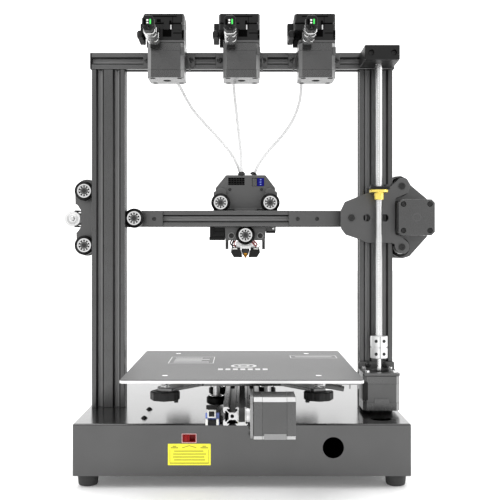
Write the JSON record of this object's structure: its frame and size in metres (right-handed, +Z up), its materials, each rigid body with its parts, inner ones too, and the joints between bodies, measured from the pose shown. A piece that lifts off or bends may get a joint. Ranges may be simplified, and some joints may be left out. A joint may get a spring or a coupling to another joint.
{
  "type": "fdm printer",
  "caption": "Desktop FDM 3-D printer with a slotted profile portal on a sheet steel base, sliding bed, X gantry and feeders with tubes to one mixing hot end.",
  "frame": {"origin": "on the surface the feet stand on, under the middle of the whole printer", "axes": "+Z up; +Y towards the printer's front, where its panel is; -Y towards its rear, where the Y motor is; +X to the right of someone who faces the rear"},
  "size_m": [0.4465, 0.5001, 0.5315],
  "materials": {
    "painted_steel": "satin dark grey powder coat with a glossy top",
    "plate_steel": "fine black powder coat",
    "anodised": "black anodised extrusion",
    "motor_case": "black lacquered laminations",
    "black_plastic": "moulded black plastic",
    "wheel_rubber": "black polyacetal tyre",
    "belt_rubber": "toothed black belt",
    "rubber_foot": "matt black rubber",
    "bright_steel": "turned bright steel",
    "supply_case": "plain sheet case",
    "brass": "turned brass",
    "platform": "textured grey platform on a heater plate",
    "white_tube": "translucent white PTFE",
    "red_plastic": "red moulded plastic",
    "circuit_board": "green solder mask"
  },
  "bodies": {
    "frame": {"base_housing": "painted_steel", "base_floor": "rubber_foot", "power_supply": "supply_case", "control_board": "circuit_board", "left_upright": "anodised", "right_upright": "anodised", "top_beam": "anodised", "screw_top_bracket": "plate_steel", "z_motor": "motor_case", "z_motor_bracket": "plate_steel", "y_rail": "anodised", "y_motor": "motor_case", "feeder_motor_1": "motor_case", "feeder_motor_2": "motor_case", "feeder_motor_3": "motor_case", "feeder_body_1": "black_plastic", "feeder_body_2": "black_plastic", "feeder_body_3": "black_plastic", "bowden_tube_1": "white_tube", "bowden_tube_2": "white_tube", "bowden_tube_3": "white_tube"},
    "screw": {"lead_screw": "bright_steel"},
    "gantry": {"x_beam": "anodised", "left_plate": "plate_steel", "right_front_plate": "plate_steel", "right_rear_plate": "plate_steel", "lead_nut": "brass", "x_motor": "motor_case", "x_belt": "belt_rubber"},
    "x_drive": {"x_pulley": "bright_steel"},
    "idler": {"x_idler": "bright_steel"},
    "carriage": {"carriage_plate": "plate_steel", "hotend_cover": "black_plastic", "hot_end": "brass"},
    "bed": {"bed_carriage": "plate_steel", "build_plate": "platform"},
    "y_drive": {"y_pulley": "bright_steel"},
    "selector": {"voltage_switch": "red_plastic"},
    "rocker": {"power_rocker": "black_plastic"},
    "dial": {"control_knob": "black_plastic"},
    "gantry_wheel_1": {"gantry_wheel_1": "wheel_rubber"},
    "gantry_wheel_2": {"gantry_wheel_2": "wheel_rubber"},
    "gantry_wheel_3": {"gantry_wheel_3": "wheel_rubber"},
    "gantry_wheel_4": {"gantry_wheel_4": "wheel_rubber"},
    "gantry_wheel_5": {"gantry_wheel_5": "wheel_rubber"},
    "gantry_wheel_6": {"gantry_wheel_6": "wheel_rubber"},
    "carriage_wheel_1": {"carriage_wheel_1": "wheel_rubber"},
    "carriage_wheel_2": {"carriage_wheel_2": "wheel_rubber"},
    "carriage_wheel_3": {"carriage_wheel_3": "wheel_rubber"},
    "bed_wheel_1": {"bed_wheel_1": "wheel_rubber"},
    "bed_wheel_2": {"bed_wheel_2": "wheel_rubber"},
    "bed_wheel_3": {"bed_wheel_3": "wheel_rubber"},
    "bed_wheel_4": {"bed_wheel_4": "wheel_rubber"},
    "level_knob_1": {"level_knob_1": "black_plastic"},
    "level_knob_2": {"level_knob_2": "black_plastic"},
    "level_knob_3": {"level_knob_3": "black_plastic"},
    "level_knob_4": {"level_knob_4": "black_plastic"},
    "feeder_lever_1": {"feeder_lever_1": "black_plastic"},
    "feeder_lever_2": {"feeder_lever_2": "black_plastic"},
    "feeder_lever_3": {"feeder_lever_3": "black_plastic"}
  },
  "joints": [
    {"name": "bed_slide", "type": "slide", "parent": "frame", "child": "bed", "axis": [0, 1, 0], "range_m": [-0.036, 0.206]},
    {"name": "gantry_slide", "type": "slide", "parent": "frame", "child": "gantry", "axis": [0, 0, 1], "range_m": [-0.122, 0.125], "deforming": ["bowden_tube_1", "bowden_tube_2", "bowden_tube_3"]},
    {"name": "carriage_slide", "type": "slide", "parent": "gantry", "child": "carriage", "axis": [1, 0, 0], "range_m": [-0.129, 0.121]},
    {"name": "screw_turn", "type": "hinge", "parent": "frame", "child": "screw", "pos_m": [0.1605, -0.093, 0.3], "axis": [0, 0, 1], "range_deg": [-5640, 5640]},
    {"name": "gantry_wheel_1_turn", "type": "hinge", "parent": "gantry", "child": "gantry_wheel_1", "pos_m": [-0.1906, -0.06, 0.3314], "axis": [0, 1, 0], "range_deg": [-720, 720]},
    {"name": "gantry_wheel_2_turn", "type": "hinge", "parent": "gantry", "child": "gantry_wheel_2", "pos_m": [-0.1906, -0.06, 0.2658], "axis": [0, 1, 0], "range_deg": [-720, 720]},
    {"name": "gantry_wheel_3_turn", "type": "hinge", "parent": "gantry", "child": "gantry_wheel_3", "pos_m": [-0.1304, -0.06, 0.2985], "axis": [0, 1, 0], "range_deg": [-720, 720]},
    {"name": "gantry_wheel_4_turn", "type": "hinge", "parent": "gantry", "child": "gantry_wheel_4", "pos_m": [0.1906, -0.06, 0.3365], "axis": [0, 1, 0], "range_deg": [-720, 720]},
    {"name": "gantry_wheel_5_turn", "type": "hinge", "parent": "gantry", "child": "gantry_wheel_5", "pos_m": [0.1906, -0.06, 0.2635], "axis": [0, 1, 0], "range_deg": [-720, 720]},
    {"name": "gantry_wheel_6_turn", "type": "hinge", "parent": "gantry", "child": "gantry_wheel_6", "pos_m": [0.1304, -0.06, 0.2985], "axis": [0, 1, 0], "range_deg": [-720, 720]},
    {"name": "carriage_wheel_1_turn", "type": "hinge", "parent": "carriage", "child": "carriage_wheel_1", "pos_m": [-0.0267, -0.032, 0.3186], "axis": [0, 1, 0], "range_deg": [-740, 740]},
    {"name": "carriage_wheel_2_turn", "type": "hinge", "parent": "carriage", "child": "carriage_wheel_2", "pos_m": [0.0347, -0.032, 0.3186], "axis": [0, 1, 0], "range_deg": [-740, 740]},
    {"name": "carriage_wheel_3_turn", "type": "hinge", "parent": "carriage", "child": "carriage_wheel_3", "pos_m": [0.004, -0.032, 0.2784], "axis": [0, 1, 0], "range_deg": [-740, 740]},
    {"name": "x_pulley_turn", "type": "hinge", "parent": "gantry", "child": "x_drive", "pos_m": [0.2045, -0.032, 0.2985], "axis": [0, 1, 0], "range_deg": [-1170, 1170]},
    {"name": "x_idler_turn", "type": "hinge", "parent": "gantry", "child": "idler", "pos_m": [-0.21, -0.032, 0.2985], "axis": [0, 1, 0], "range_deg": [-1170, 1170]},
    {"name": "bed_wheel_1_turn", "type": "hinge", "parent": "bed", "child": "bed_wheel_1", "pos_m": [-0.0301, -0.088, 0.084], "axis": [0, 0, 1], "range_deg": [-1180, 1180]},
    {"name": "bed_wheel_2_turn", "type": "hinge", "parent": "bed", "child": "bed_wheel_2", "pos_m": [0.0301, -0.088, 0.084], "axis": [0, 0, 1], "range_deg": [-1180, 1180]},
    {"name": "bed_wheel_3_turn", "type": "hinge", "parent": "bed", "child": "bed_wheel_3", "pos_m": [-0.0301, -0.02, 0.084], "axis": [0, 0, 1], "range_deg": [-1180, 1180]},
    {"name": "bed_wheel_4_turn", "type": "hinge", "parent": "bed", "child": "bed_wheel_4", "pos_m": [0.0301, -0.02, 0.084], "axis": [0, 0, 1], "range_deg": [-1180, 1180]},
    {"name": "y_pulley_turn", "type": "hinge", "parent": "frame", "child": "y_drive", "pos_m": [0.0002, -0.229, 0.0928], "axis": [1, 0, 0], "range_deg": [-1870, 1870]},
    {"name": "level_knob_1_turn", "type": "hinge", "parent": "bed", "child": "level_knob_1", "pos_m": [-0.0825, -0.18, 0.104], "axis": [0, 0, 1], "range_deg": [-360, 360]},
    {"name": "level_knob_2_turn", "type": "hinge", "parent": "bed", "child": "level_knob_2", "pos_m": [0.0825, -0.18, 0.104], "axis": [0, 0, 1], "range_deg": [-360, 360]},
    {"name": "level_knob_3_turn", "type": "hinge", "parent": "bed", "child": "level_knob_3", "pos_m": [-0.0825, 0.0122, 0.104], "axis": [0, 0, 1], "range_deg": [-360, 360]},
    {"name": "level_knob_4_turn", "type": "hinge", "parent": "bed", "child": "level_knob_4", "pos_m": [0.0825, 0.0122, 0.104], "axis": [0, 0, 1], "range_deg": [-360, 360]},
    {"name": "feeder_lever_1_press", "type": "hinge", "parent": "frame", "child": "feeder_lever_1", "pos_m": [-0.117, -0.084, 0.507], "axis": [0, 0, 1], "range_deg": [0, 9], "stiffness_Nm_per_rad": 0.6, "springref_deg": -20.05},
    {"name": "feeder_lever_2_press", "type": "hinge", "parent": "frame", "child": "feeder_lever_2", "pos_m": [-0.0303, -0.084, 0.507], "axis": [0, 0, 1], "range_deg": [0, 9], "stiffness_Nm_per_rad": 0.6, "springref_deg": -20.05},
    {"name": "feeder_lever_3_press", "type": "hinge", "parent": "frame", "child": "feeder_lever_3", "pos_m": [0.0564, -0.084, 0.507], "axis": [0, 0, 1], "range_deg": [0, 9], "stiffness_Nm_per_rad": 0.6, "springref_deg": -20.05},
    {"name": "dial_turn", "type": "hinge", "parent": "frame", "child": "dial", "pos_m": [0.075, 0.24, 0.0425], "axis": [0, 1, 0], "continuous": true},
    {"name": "voltage_select", "type": "slide", "parent": "frame", "child": "selector", "axis": [1, 0, 0], "range_m": [0, 0.0055]},
    {"name": "power_press", "type": "hinge", "parent": "frame", "child": "rocker", "pos_m": [-0.177, 0.148, 0.045], "axis": [0, 1, 0], "range_deg": [0, 20]}
  ],
  "couplings": [
    {"joint": "screw_turn", "follows": "gantry_slide", "rad_per_m": -785.4},
    {"joint": "gantry_wheel_1_turn", "follows": "gantry_slide", "rad_per_m": 99.01},
    {"joint": "gantry_wheel_2_turn", "follows": "gantry_slide", "rad_per_m": 99.01},
    {"joint": "gantry_wheel_3_turn", "follows": "gantry_slide", "rad_per_m": -99.01},
    {"joint": "gantry_wheel_4_turn", "follows": "gantry_slide", "rad_per_m": -99.01},
    {"joint": "gantry_wheel_5_turn", "follows": "gantry_slide", "rad_per_m": -99.01},
    {"joint": "gantry_wheel_6_turn", "follows": "gantry_slide", "rad_per_m": 99.01},
    {"joint": "carriage_wheel_1_turn", "follows": "carriage_slide", "rad_per_m": 99.01},
    {"joint": "carriage_wheel_2_turn", "follows": "carriage_slide", "rad_per_m": 99.01},
    {"joint": "carriage_wheel_3_turn", "follows": "carriage_slide", "rad_per_m": -99.01},
    {"joint": "x_pulley_turn", "follows": "carriage_slide", "rad_per_m": 157.08},
    {"joint": "x_idler_turn", "follows": "carriage_slide", "rad_per_m": 157.08},
    {"joint": "bed_wheel_1_turn", "follows": "bed_slide", "rad_per_m": -99.01},
    {"joint": "bed_wheel_2_turn", "follows": "bed_slide", "rad_per_m": 99.01},
    {"joint": "bed_wheel_3_turn", "follows": "bed_slide", "rad_per_m": -99.01},
    {"joint": "bed_wheel_4_turn", "follows": "bed_slide", "rad_per_m": 99.01},
    {"joint": "y_pulley_turn", "follows": "bed_slide", "rad_per_m": -157.08}
  ]
}
